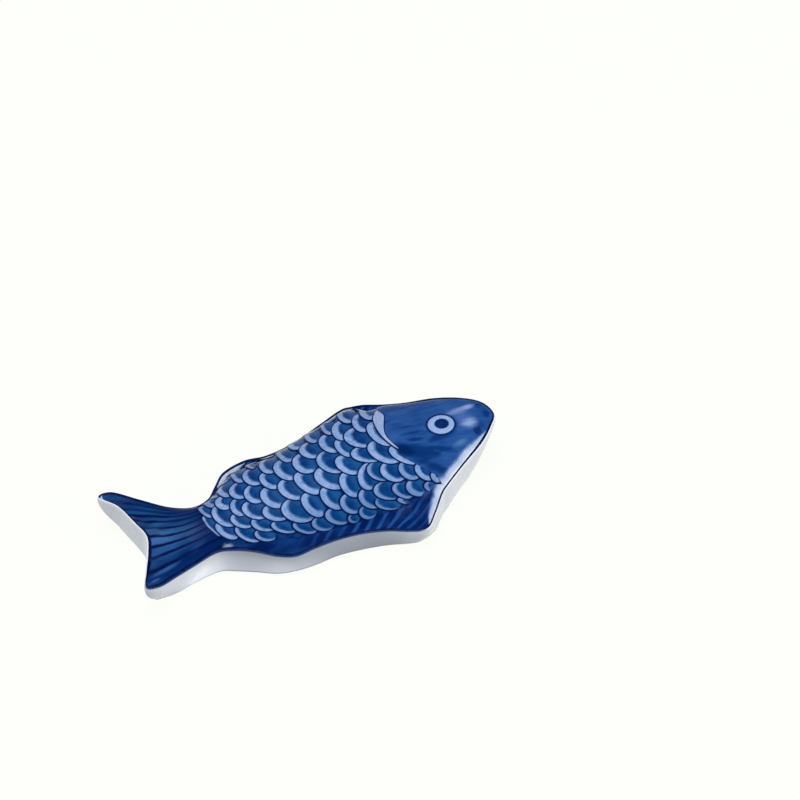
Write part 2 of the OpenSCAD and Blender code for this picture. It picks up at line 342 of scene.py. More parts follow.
# The cheek border and the waist border as points given in the plan, in millimetres,
# each turned to a shift of the net's lines, which fades out over four stations
cheek_at, waist_at, fade_over = 5, 17, 4
cheek_back = np.array([[13.9, 0], [13.6, 2], [14.2, 4], [15.3, 5.8], [15.2, 8], [15.9, 10.4]])
cheek_belly = np.array([[13.9, -0.01], [14.6, -2], [15.1, -3.6], [16.5, -5.2], [18.0, -6.6], [19.2, -7.6]])
waist_back = np.array([[-18.45, 0], [-18.3, 1.8], [-17.9, 3.2]])
waist_belly = np.array([[-18.45, -0.01], [-18.2, -2], [-17.3, -3.9], [-16.4, -4.9]])
net_t = np.repeat(station[None], rings + 1, 0)
for middle, borders in ((cheek_at, (cheek_back, cheek_belly)), (waist_at, (waist_back, waist_belly))):
    shift = np.zeros_like(net_t)
    for points, chosen in zip(borders, (on_back, ~on_back)):
        t_of, r_of = spot(*(points * MM).T)
        shift[:, chosen] = np.interp(places[:, chosen], np.abs(r_of), t_of - middle)
    fade = np.clip(1 - np.abs(station - middle) / fade_over, 0, 1)
    net_t += shift * fade * fade * (3 - 2 * fade)
net = face_at(net_t, places * np.where(on_back, 1.0, -1.0))
edge_now = np.stack(edge_at(net_t[-1], on_back, range(6)), 1)
edge_point = edge_now[:, :3]
net[-1] = edge_point
net[0] = net[0, np.minimum(line_index, mirrored)]
# Unit normals of the net: the step outwards crossed with the step along the ring. At the
# tail's end, where lines and rings run side by side, they turn upright: it is level
level_from, level_over = 20.2, 0.6
net_normals = np.cross(np.gradient(net, axis=0), np.roll(net, -1, 1) - np.roll(net, 1, 1))
net_normals[0] = net_normals[1] + net_normals[1, mirrored]
level = np.clip((station - level_from) / level_over, 0, 1)[:, None]
net_normals = unit(unit(net_normals) * (1 - level) + level * [0, 0, 1])

# Level unit vectors out of the edge: the step from the point before to the point after,
# turned a quarter
step = np.roll(edge_point, -1, 0) - np.roll(edge_point, 1, 0)
outward = unit(np.stack([step[:, 1], -step[:, 0], 0 * step[:, 0]], 1))
# Rows of the body's wall: round the lip, down the side as it draws in, round the foot and
# in under it to below the spine
lip_steps, wall_steps, foot_steps = 5, 12, 5
roll = np.minimum(lip_h, (edge_point[:, 2] - foot_r) / 2)
foot_shift = np.stack([edge_now[:, 3], edge_now[:, 4], 0 * roll], 1)
straight_up = np.array([0, 0, 1.0])
rows = [edge_point + outward * lip_out * math.sin(a) - straight_up * (roll * (1 - math.cos(a)))[:, None]
        for a in np.linspace(0, math.pi / 2, lip_steps + 1)]
lip = rows[-1]
for f in np.linspace(0, 1, wall_steps + 1)[1:]:
    row = lip + foot_shift * f**2
    row[:, 2] = lip[:, 2] + (foot_r - lip[:, 2]) * f
    rows.append(row)
for a in np.linspace(0, math.pi / 2, foot_steps + 1)[1:]:
    row = lip + foot_shift - outward * foot_r * (1 - math.cos(a))
    row[:, 2] = foot_r * (1 - math.sin(a))
    rows.append(row)
foot, below_spine = rows[-1], net[0] * [1, 1, 0]
under_at = (0.12, 0.5, 1)
rows += [foot + (below_spine - foot) * f for f in under_at]
# The bed that the coats lie on comes first, a little below their undersides
bed = 1.5 * coat_t
bed_rows = [net[i] - net_normals[i] * bed for i in range(0, rings, 2)] + [net[rings] - straight_up * bed]
body_points = np.clip(np.stack(bed_rows + rows), cad_low, cad_high)
body_ids = np.arange(body_points[..., 0].size).reshape(body_points.shape[:2])
for end in (0, -1):
    body_ids[end, half_lines + 1:] = body_ids[end, mirrored[half_lines + 1:]]
is_foot = np.zeros(body_ids.shape)
is_foot[-len(under_at) - 1:] = 1
# The edge line's blue bleeds over the lip, but not along the jaw nor at the end of the tail
lip_at = len(bed_rows)
bleed_rows = np.array([[1, 1, 1, 1, 0.9, 0.4], [1, 1, 0.9, 0.55, 0.2, 0]])[..., None]
bleed_back = np.interp(station, [1, 2, 20.5, 21.3], [0, 1, 1, 0])
bleed_belly = np.interp(station, [7, 7.8, 20.8, 21.5], [0, 1, 1, 0])
bled = np.zeros(body_ids.shape)
over_lip = slice(lip_at, lip_at + lip_steps + 1)
bled[over_lip] = np.where(on_back, bleed_rows[0] * bleed_back, bleed_rows[1] * bleed_belly)
bled[lip_at - 1] = bled[lip_at]
# How far down the wall a point lies, from nought near the lip to one near the foot
skirt_top, skirt_low = 3.2 * MM, 0.8 * MM
skirt = np.clip((skirt_top - body_points[..., 2]) / (skirt_top - skirt_low), 0, 1)


def closed_rings(rows, inside_out=False):
    """Four-sided faces between the rows of a stack of closed rings, numbered row by row."""
    onward = np.roll(rows, -1, 1)
    faces = np.stack([rows[:-1], onward[:-1], onward[1:], rows[1:]], -1).reshape(-1, 4)
    return faces[:, ::-1] if inside_out else faces


class PaintPot:
    """A glaze paint and the nodes that its colour is mixed from. Each method adds a node and
    gives its output. A value is a number, a colour as 0 to 255 or another node's output."""

    def __init__(self, name):
        self.material = bpy.data.materials.new(name)
        self.material.use_nodes = True
        self.nodes, self.links = self.material.node_tree.nodes, self.material.node_tree.links
        own_place = self.nodes.new("ShaderNodeTexCoord").outputs["Object"]
        self.mm = self.mapped(own_place, Scale=(1 / MM, 1 / MM, 1 / MM))

    def feed(self, socket, value):
        """Gives a socket its value."""
        if isinstance(value, tuple):
            socket.default_value = paint(*value)
        elif isinstance(value, (float, int)):
            socket.default_value = value
        else:
            self.links.new(value, socket)

    def mapped(self, vector, way="POINT", **values):
        """Places moved, turned and scaled, or with the way TEXTURE the reverse of it."""
        node = self.nodes.new("ShaderNodeMapping")
        node.vector_type = way
        for name, value in values.items():
            node.inputs[name].default_value = value
        self.links.new(vector, node.inputs["Vector"])
        return node.outputs[0]

    def carried(self, name):
        """The value that the piece carries under this name."""
        node = self.nodes.new("ShaderNodeAttribute")
        node.attribute_name = name
        return node.outputs["Fac"]

    def mottle(self, scale, stretch=(1, 1, 1), detail=3, turned=0.0):
        """Cloudy noise between nought and one, stretched along the axes and turned in the plan."""
        noise = self.nodes.new("ShaderNodeTexNoise")
        noise.inputs["Scale"].default_value = scale
        noise.inputs["Detail"].default_value = detail
        self.links.new(self.mapped(self.mm, Scale=stretch, Rotation=(0, 0, turned)), noise.inputs["Vector"])
        return noise.outputs["Fac"]

    def blot(self, centre, size, turned=0.0, soft=1.0):
        """A soft oval patch: one at its centre, falling to nought at its rim, to the power
        soft. Its half length and half width are size, and it is turned by degrees in the plan."""
        deep, turn = 400, (0, 0, math.radians(turned))
        ball = self.nodes.new("ShaderNodeTexGradient")
        ball.gradient_type = "SPHERICAL"
        place = self.mapped(self.mm, "TEXTURE", Location=(*centre, 0), Rotation=turn, Scale=(*size, deep))
        self.links.new(place, ball.inputs["Vector"])
        return self.sums("POWER", ball.outputs["Fac"], soft)

    def sums(self, way, *values):
        """Arithmetic on one, two or three values."""
        node = self.nodes.new("ShaderNodeMath")
        node.operation = way
        for socket, value in zip(node.inputs, values):
            self.feed(socket, value)
        return node.outputs[0]

    def length(self, one, other):
        """The root of the sum of two squares."""
        both = self.nodes.new("ShaderNodeCombineXYZ")
        self.feed(both.inputs[0], one)
        self.feed(both.inputs[1], other)
        node = self.nodes.new("ShaderNodeVectorMath")
        node.operation = "LENGTH"
        self.links.new(both.outputs[0], node.inputs[0])
        return node.outputs["Value"]

    def ramp(self, value, *stops):
        """Colours laid along a value, each stop a place and a colour or a grey."""
        node = self.nodes.new("ShaderNodeValToRGB")
        node.color_ramp.interpolation = "EASE"
        elements = node.color_ramp.elements
        while len(elements) < len(stops):
            elements.new(0.5)
        for element, (place, colour) in zip(elements, stops):
            element.position = place
            element.color = paint(*colour) if isinstance(colour, tuple) else (colour, colour, colour, 1)
        self.links.new(value, node.inputs[0])
        return node.outputs["Color"]

    def mixed(self, share, one, other):
        """One colour, with a share of the other laid over it."""
        node = self.nodes.new("ShaderNodeMix")
        node.data_type = "RGBA"
        under, over = (socket for socket in node.inputs if socket.type == "RGBA")
        self.feed(node.inputs["Factor"], share)
        self.feed(under, one)
        self.feed(over, other)
        return next(socket for socket in node.outputs if socket.type == "RGBA")

    def fired(self, colour, ripples=None, height=0.03, gloss=0.14, level=0.02):
        """Lays the colour under clear glaze: a glossy coat, with ripples so many millimetres high."""
        shader = self.nodes["Principled BSDF"]
        self.links.new(colour, shader.inputs["Base Color"])
        shader.inputs["Roughness"].default_value = gloss
        shader.inputs["Specular IOR Level"].default_value = level
        if ripples is not None:
            relief = self.nodes.new("ShaderNodeBump")
            relief.inputs["Strength"].default_value = 1.0
            relief.inputs["Distance"].default_value = height * MM
            self.links.new(ripples, relief.inputs["Height"])
            self.links.new(relief.outputs[0], shader.inputs["Normal"])
        return shader


pot = PaintPot("white_porcelain_glaze")
glaze = pot.ramp(pot.mottle(0.35), (0.3, (236, 240, 245)), (0.7, (243, 245, 248)))
# Painted shade on the wall along the belly and at the waist: two soft grey blots, greyer towards the foot
painted_shade_grey = pot.mixed(pot.carried("skirt"), (184, 190, 199), (162, 168, 178))
for centre, size in (((2, -11), (21, 8)), ((-12.5, -7), (9.5, 6.5))):
    shade_share = pot.ramp(pot.blot(centre, size), (0, 0), (0.85, 0.9))
    glaze = pot.mixed(shade_share, glaze, painted_shade_grey)
bare_clay = pot.ramp(pot.mottle(6, detail=6), (0.3, (222, 218, 210)), (0.7, (232, 229, 222)))
glaze = pot.mixed(pot.ramp(pot.carried("bled"), (0.1, 0), (0.9, 1)), glaze, (24, 58, 118))
foot_share = pot.carried("foot")
glaze_gloss, clay_adds = 0.12, 0.5
shader = pot.fired(pot.mixed(foot_share, glaze, bare_clay), pot.mottle(0.5, detail=1),
                   gloss=glaze_gloss, level=0.14)
pot.feed(shader.inputs["Roughness"], pot.sums("MULTIPLY_ADD", foot_share, clay_adds, glaze_gloss))
piece_from("glazed_body", body_points.reshape(-1, 3), [closed_rings(body_ids)], pot,
           "porcelain_body", fields={"foot": is_foot, "skirt": skirt, "bled": bled})


# Head
# A brushed blue wash from nose to cheek, darker in blots behind and below the eye, rubbed
# pale in front of it, with painted shade towards the back edge, and a pale strip along the
# jaw: white showing through the glaze, with a painted highlight on the rolled edge.
back_fin_to, rear_fin_from, rear_fin_to = 10, 12, 16
cell_station = np.minimum(line_index, lines - 1 - line_index)[None] / per_line
cell_ring = np.arange(rings)[:, None]
cell_back = (line_index < half_lines)[None]
on_stroke = np.broadcast_to(cell_ring >= flank_rings + fin_rings, (rings, lines))
on_fin = (cell_ring >= flank_rings) & ~on_stroke
is_head = ~on_stroke & (cell_station < cheek_at)
is_tail = ~on_stroke & (cell_station >= waist_at)
between = ~is_head & ~is_tail & ~on_stroke
is_belly_fin, along_back = between & on_fin & ~cell_back, between & on_fin & cell_back
is_back_fin = along_back & (cell_station < back_fin_to)
is_rear_fin = along_back & (cell_station >= rear_fin_from) & (cell_station < rear_fin_to)
is_scales = between & ~is_belly_fin & ~is_back_fin & ~is_rear_fin
net_ids = np.arange((rings + 1) * lines).reshape(rings + 1, lines)
net_ids[0, half_lines + 1:] = mirrored[half_lines + 1:]
# How far inside the edge a point of the net lies, along its line and square to the edge,
# which the lines meet at a slant across the tail's end
inset = (1 - places) * reach
line_way = edge_now[:, :2] - spine_now
slant = np.abs((line_way * outward[:, :2]).sum(1)) / np.hypot(*line_way.T)
beside = inset * slant / MM
# A pale strip inside the edge line. At the nose, along the jaw and down the front of the belly
# fin it is white showing through, with a painted highlight on the rolled edge; round the two
# back fins and at the upper tip of the tail it is a painted highlight. Each table holds
# stations, then the strip's width there in millimetres
back_strip = [[0, 1.4, 2.2, 7.4, 8.2, 9, 9.7, 10.2, 12.8, 13.5, 14.6, 15.4, 20.4, 20.8, 21.2, 21.5, 21.8],
              [0.3, 0.3, 0.01, 0.01, 1.5, 1.9, 1.4, 0.01, 0.01, 1.6, 1.6, 0.01, 0.01, 0.9, 1.6, 1.1, 0.01]]
belly_strip = [[0, 0.9, 1.4, 2, 2.6, 4, 5, 6, 6.7, 7.2],
               [0.3, 0.25, 0.45, 0.9, 1.6, 1.75, 2.1, 2.1, 1.7, 0.01]]
strip_w = np.where(on_back, np.interp(station, *back_strip), np.interp(station, *belly_strip)) * MM
strip = np.clip(inset / strip_w, 0, 3)


def coat(name, cells, pot, node, drop=0.0, bottom=1.2 * coat_t, fields=None):
    """A closed shell over the chosen cells of the net: its top lies drop below the face, its
    underside bottom below, and a wall stands wherever a neighbouring cell isn't chosen."""
    onward = np.roll(net_ids, -1, 1)
    a, b, d, e = net_ids[:-1], onward[:-1], net_ids[1:], onward[1:]
    under = net_ids.size
    inward = np.vstack([cells[0, ::-1][None], cells[:-1]])
    outwards = np.vstack([cells[1:], np.zeros((1, lines), bool)])
    faces = [np.stack([a, b, e, d], -1)[cells], (np.stack([d, e, b, a], -1) + under)[cells]]
    behind, ahead = np.roll(cells, 1, 1), np.roll(cells, -1, 1)
    for other, one, two in ((behind, a, d), (ahead, e, b), (inward, b, a), (outwards, d, e)):
        faces.append(np.stack([one, two, two + under, one + under], -1)[cells & ~other])
    used, faces = np.unique(np.concatenate(faces), return_inverse=True)
    normals = net_normals.reshape(-1, 3)
    drop = np.broadcast_to(drop, net.shape[:2]).reshape(-1, 1)
    points = np.concatenate([net.reshape(-1, 3) - normals * depth for depth in (drop, bottom)])
    fields = {"inset": inset / MM, "strip": strip, **(fields or {})}
    carried = {k: np.tile(np.broadcast_to(v, net.shape[:2]).reshape(-1), 2)[used] for k, v in fields.items()}
    piece_from(name, points[used], [faces.reshape(-1, 4)], pot, node, fields=carried)


def dabbed(pot, colour, dabs, load, streaks, *stops):
    """Lays soft dabs over a colour: a blot times its strength and the load of the brush,
    broken up by streaks, and faded in between the stops."""
    for centre, size, angle, soft, tint, strength in dabs:
        dab = pot.sums("MULTIPLY", pot.blot(centre, size, angle, soft), strength * load)
        colour = pot.mixed(pot.ramp(pot.sums("MULTIPLY", dab, streaks), *stops), colour, tint)
    return colour


# Dabs of the brush: centre, half sizes, turn in degrees, softness, colour, strength
dark_dabs = (
    ((17.4, -3.2), (4.6, 2), -38, 0.8, (4, 48, 110), 0.85),
    ((18.2, 0.4), (3, 0.5), -6, 0.9, (10, 54, 118), 0.8),
    ((17.6, 2), (2, 0.35), -8, 0.9, (12, 56, 120), 0.8),
    ((20.5, -3.6), (4.6, 0.8), -16, 0.9, (8, 54, 114), 0.9),
    ((23, -1.6), (3, 1.3), 8, 0.9, (14, 60, 122), 0.8),
    ((15.5, -2.3), (2.4, 1.5), -50, 0.8, (0, 36, 92), 1),
    ((19.2, -6.3), (5.5, 1), -34, 0.8, (10, 50, 112), 0.8),
    ((30.9, 0.6), (1, 0.8), 70, 0.8, (8, 50, 116), 1),
    ((28.4, -1.9), (1.2, 0.9), 60, 0.8, (8, 48, 108), 1),
    ((30.4, 2.5), (0.8, 0.6), 40, 0.9, (10, 54, 120), 0.9),
    ((22, -1.6), (2.8, 0.7), 14, 0.8, (8, 52, 114), 0.9),
    ((18, -1), (2.2, 0.6), -14, 0.8, (8, 52, 114), 0.9),
    ((19.6, -4), (2, 0.9), -30, 0.8, (8, 50, 112), 0.9),
    ((26.6, -6.4), (2.8, 1), 10, 1, (14, 60, 118), 0.7),
    ((16.5, 2.5), (2.2, 1), 10, 1, (20, 62, 126), 0.6))
pale_dabs = (
    ((26.6, 2.3), (2.8, 1), 4, 1.1, (130, 148, 206), 0.85),
    ((28.4, 2.6), (1.8, 0.9), 4, 1.1, (142, 164, 212), 0.8),
    ((27.5, -0.5), (2.1, 1.4), 0, 1.1, (136, 162, 208), 0.9),
    ((26.6, 1.4), (3.4, 3), 0, 1.2, (86, 118, 180), 0.5),
    ((24.8, -3.6), (2, 0.7), 14, 1, (76, 118, 172), 0.8),
    ((26.2, -4.9), (2.4, 0.5), 4, 1, (84, 122, 182), 0.7),
    ((17, 8.6), (3.5, 1.2), -10, 1, (60, 98, 166), 0.6))
pot = PaintPot("head_wash")
brush = pot.mottle(0.55, (0.45, 1.3, 0.6), 5, math.radians(-20))
wash = pot.ramp(brush, (0.3, (16, 64, 128)), (0.5, (36, 80, 146)), (0.7, (48, 90, 156)))
dashes = pot.ramp(pot.mottle(1.1, (0.28, 1.5, 0.6), 4, math.radians(14)), (0.5, 0), (0.72, 0.6))
wash = pot.mixed(dashes, wash, (14, 60, 124))
ragged = pot.sums("ADD", pot.mottle(0.9, (0.5, 1.6, 1), 4, 0.3), 0.35)
wash = dabbed(pot, wash, dark_dabs, 1.4, ragged, (0.12, 0), (0.8, 1))
rubbed = pot.sums("ADD", pot.mottle(1.2, (0.4, 1.6, 1), 3, 0.15), 0.3)
wash = dabbed(pot, wash, pale_dabs, 1.6, rubbed, (0, 0), (1, 1))
# Painted shade: the wash darkens towards the back edge of the head
painted_shade_to_back = pot.ramp(pot.blot((20, 14), (26, 9)), (0, 0), (0.5, 0.85))
wash = pot.mixed(painted_shade_to_back, wash, (6, 54, 122))
# The eye is narrower across the fish than along it, and a dark line runs round it
eye_at, eye_flat = np.array([35.7, 1.5]) * [edge_l, edge_w] / 100, 0.9
round_eye = pot.blot(tuple(eye_at / MM), (3.5, 3.5 * eye_flat))
wash = pot.mixed(pot.ramp(round_eye, (0.2, 0), (0.27, 0.4), (0.31, 1)), wash, (4, 38, 100))


def bare_white_and_highlights(pot, colour):
    """Lays the pale strip inside the edge over a colour, ragged inwards: white showing through
    with a painted highlight at the nose, the jaw and the belly fin's front, a painted highlight
    alone round the back fins and at the tail's tip, and a painted glint in one small spot at the waist."""
    wobble = pot.sums("MULTIPLY", pot.sums("SUBTRACT", pot.mottle(0.6, detail=2), 0.5), 0.5)
    inwards = pot.sums("ADD", pot.carried("strip"), wobble)
    thin = pot.ramp(inwards, (0, 1), (0.55, 0.95), (1, 0))
    tint = pot.ramp(inwards, (0.15, (232, 238, 248)), (0.5, (190, 205, 232)), (0.9, (112, 142, 198)))
    # A painted glint: a small pale spot at the waist
    glint = pot.ramp(pot.blot((-16.3, -6.0), (1.2, 0.9)), (0, 0), (0.9, 0.9))
    return pot.mixed(glint, pot.mixed(thin, colour, tint), (160, 184, 214))


# The pale strip at the nose and along the jaw: white showing through, with a painted highlight
pot.fired(bare_white_and_highlights(pot, wash), pot.mottle(0.6, detail=2), 0.05)
coat("head_coat_painted", is_head, pot, "head_coat")


# Eye
# A pale ring, a touch domed, with a dark pupil set in it: two strokes of the brush under
# the glaze.
def draped(x, y, lift):
    """Points of the plan laid on the face and lifted along its normal, which comes from the
    heights a tenth of a millimetre to each side."""
    def height(x, y):
        """The height of the face over a point of the plan."""
        return face_at(*spot(x, y))[..., 2]

    d, steepest = 0.1 * MM, 2.5
    slope = [np.clip((height(x + dx, y + dy) - height(x - dx, y - dy)) / (2 * d), -steepest, steepest)
             for dx, dy in ((d, 0), (0, d))]
    normal = unit(np.stack([-slope[0], -slope[1], 1 + 0 * x], -1))
    return np.stack([x, y, height(x, y)], -1) + normal * np.broadcast_to(lift, x.shape)[..., None]


def disc(centre, inner, outer, off=(0, 0)):
    """An oval ring laid on the face, or a disc if its inner radius is nought: its top is a
    half wave over the ring or a quarter wave from the disc's centre, and its underside lies
    deeper. The inner circle lies off to one side, and fans close a disc's middle. Gives the
    points, the faces, and the place across the ring from 0 to 1."""
    crown, depth, rows, round_steps, hub = 0.1 * MM, 0.25 * MM, 13, 56, 0.08
    angle = np.arange(round_steps) * 2 * math.pi / round_steps
    f = np.linspace(0, 1, rows)
    first = inner or hub * outer
    lift = np.sin(math.pi * f) if inner else np.cos(math.pi / 2 * f)
    radius = np.concatenate([first + (outer - first) * f, [outer, first]])
    lift = np.concatenate([crown * lift, [-depth, -depth]])
    aside = np.concatenate([1 - f, [0, 1]])[:, None]
    x = centre[0] + radius[:, None] * np.cos(angle) + off[0] * aside
    y = centre[1] + eye_flat * radius[:, None] * np.sin(angle) + off[1] * aside
    points = draped(x, y, lift[:, None])
    ids = np.arange(x.size).reshape(x.shape)
    over = np.repeat(np.concatenate([f, [1, 0]])[:, None], round_steps, 1)
    if inner:
        return points.reshape(-1, 3), [closed_rings(np.vstack([ids, ids[:1]]))], over
    middle = draped(np.full(2, centre[0]), np.full(2, centre[1]), np.array([crown, -depth]))
    fans = [np.stack([np.full(round_steps, hub_id), one, other], -1) for hub_id, one, other in (
        (ids.size, ids[0], np.roll(ids[0], -1)), (ids.size + 1, np.roll(ids[-1], -1), ids[-1]))]
    return np.concatenate([points.reshape(-1, 3), middle]), [closed_rings(ids), *fans], over


ring_r, hole_r, pupil_r = 2.2 * MM, 1.08 * MM, 1.2 * MM
pupil_off = np.array([0.17, 0.1]) * MM
pot = PaintPot("eye_ring_stroke")
ring_blue = pot.ramp(pot.mottle(1.6, detail=4), (0.3, (138, 168, 214)), (0.7, (156, 178, 222)))
rims = pot.ramp(pot.carried("over"), (0, 1), (0.2, 0), (0.9, 0), (1, 1))
pot.fired(pot.mixed(rims, ring_blue, (6, 44, 104)), pot.mottle(1.2), gloss=0.13)
points, faces, over = disc(eye_at, hole_r, ring_r, pupil_off)
piece_from("eye_ring_painted", points, faces, pot, "eye_ring", fields={"over": over})
pot = PaintPot("pupil_stroke")
pot.fired(pot.ramp(pot.mottle(1.0), (0.3, (0, 34, 88)), (0.7, (6, 44, 104))), gloss=0.1)
points, faces, over = disc(eye_at + pupil_off, 0, pupil_r)
piece_from("pupil_painted", points, faces, pot, "pupil")


# Gill
# One loaded brush stroke behind the cheek: a pale crescent, broad at the back of the head
# and drawn out to a point towards the belly, between two thin dark lines.
hind_border = np.array([
    [15.05, 8.2], [14.3, 7.1], [13.7, 6.2], [13.35, 5], [13.2, 3.5], [13.25, 2],
    [13.5, 0.7], [14, -0.6], [14.45, -1.5], [14.95, -2.2]]) * MM
fore_border = np.array([
    [15.05, 8.2], [15.25, 7], [15.35, 5.9], [14.9, 4.7], [14.35, 3.5], [13.95, 2.3],
    [13.85, 1.2], [14.05, 0.2], [14.45, -1], [14.95, -2.2]]) * MM
steps, widths = 54, 10
rim_w, crest = 0.24 * MM, 0.08 * MM
at = np.linspace(0, len(hind_border) - 1, steps)
hind, fore = (through(border, at, False) for border in (hind_border, fore_border))
# Both borders move out by the dark line's width, and by less near the two ends
grow = np.clip(np.minimum(at, at[-1] - at) * 2, 0.35, 1)[:, None] * [rim_w, 0]
hind, fore = hind - grow, fore + grow
f = np.linspace(0, 1, widths)
plan = hind[:, None] * (1 - f[:, None]) + fore[:, None] * f[:, None]
rim = np.minimum(f, 1 - f) * np.linalg.norm(fore - hind, axis=1)[:, None] / rim_w
top = draped(plan[..., 0], plan[..., 1], crest * np.sin(math.pi * f))
low = draped(plan[..., 0], plan[..., 1], -coat_t)
# Each row runs round one cross section: over the top, then back along the underside
loops = np.concatenate([top, low[:, ::-1]], 1)
rim = np.clip(np.concatenate([rim, rim[:, ::-1]], 1), 0, 3)
ids = np.arange(steps * 2 * widths).reshape(steps, 2 * widths)


def closed_end(ring, flip=False):
    """Faces that close a ring of points: each joins two neighbours to the two that face them
    across the ring."""
    half = ring.shape[-1] // 2
    near, far = ring[..., :half], ring[..., ::-1][..., :half]
    faces = np.stack([near[..., :-1], near[..., 1:], far[..., 1:], far[..., :-1]], -1)
    return (faces[..., ::-1] if flip else faces).reshape(-1, 4)


pot = PaintPot("gill_stroke_pale")
pale = pot.ramp(pot.mottle(1.4, (1.2, 0.6, 1), 4), (0.3, (140, 166, 212)), (0.7, (168, 180, 222)))
line = pot.ramp(pot.carried("rim"), (0.75, 1), (1, 0))
pot.fired(pot.mixed(line, pale, (4, 30, 84)), pot.mottle(1.2))
piece_from("gill_stroke_painted", loops.reshape(-1, 3),
           [closed_rings(ids, True), closed_end(ids[0]), closed_end(ids[-1], True)], pot,
           "gill_stroke", fields={"rim": rim})


